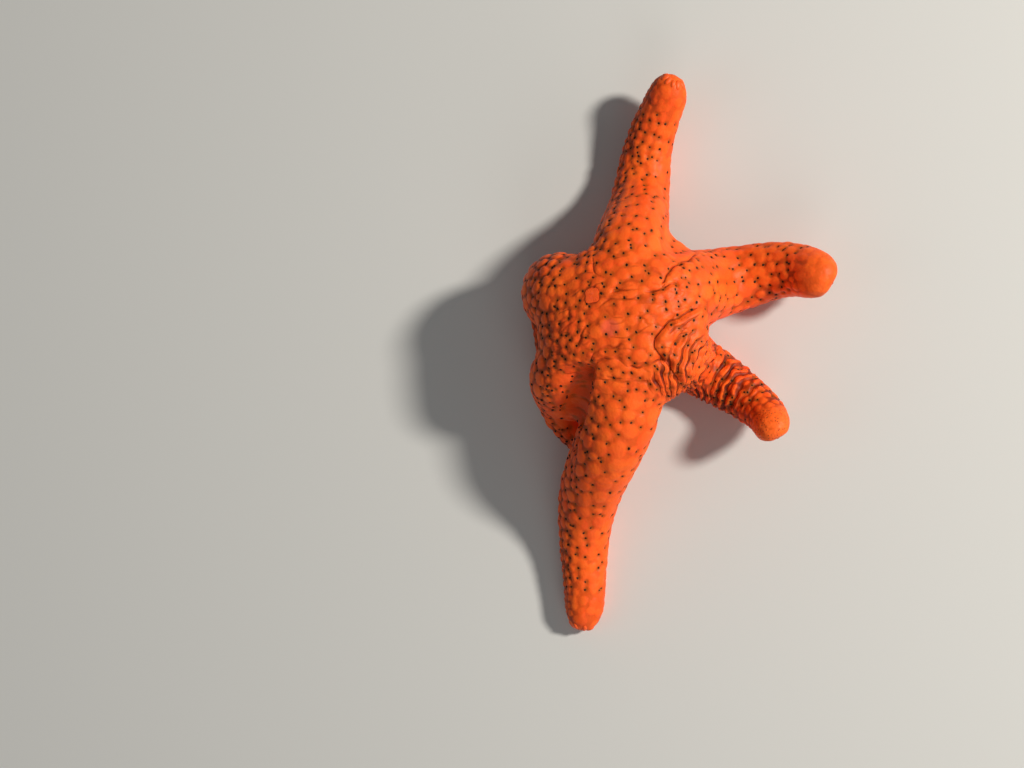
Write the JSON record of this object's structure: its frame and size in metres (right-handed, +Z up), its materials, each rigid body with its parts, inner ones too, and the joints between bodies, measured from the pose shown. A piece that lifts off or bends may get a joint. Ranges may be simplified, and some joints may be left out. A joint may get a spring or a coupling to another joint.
{
  "type": "starfish",
  "caption": "Life-size still model of a small red-orange tropical starfish with slender rounded arms, humped on the floor with some arm tips raised.",
  "frame": {"origin": "on the floor under the middle of the animal's bounding box", "axes": "+Z up, +Y towards the tip of arm 1, +X towards arms 2 and 3"},
  "size_m": [0.0312, 0.0554, 0.014],
  "materials": {
    "body_wall": "satin, damp skin over small convex plates with dark pores",
    "madreporite": "matt, finely grooved plate",
    "underside_soft": "soft, translucent, damp"
  },
  "bodies": {
    "root": {"disc": "body_wall", "madreporite": "madreporite", "mouth": "underside_soft", "arm_1_base": "body_wall", "arm_1_middle": "body_wall", "arm_1_tip": "body_wall", "arm_2_base": "body_wall", "arm_2_middle": "body_wall", "arm_2_tip": "body_wall", "arm_3_base": "body_wall", "arm_3_middle": "body_wall", "arm_3_tip": "body_wall", "arm_4_base": "body_wall", "arm_4_middle": "body_wall", "arm_4_tip": "body_wall", "arm_5_base": "body_wall", "arm_5_middle": "body_wall", "arm_5_tip": "body_wall", "arm_6_base": "body_wall", "arm_6_middle": "body_wall", "arm_6_tip": "body_wall"}
  },
  "joints": []
}
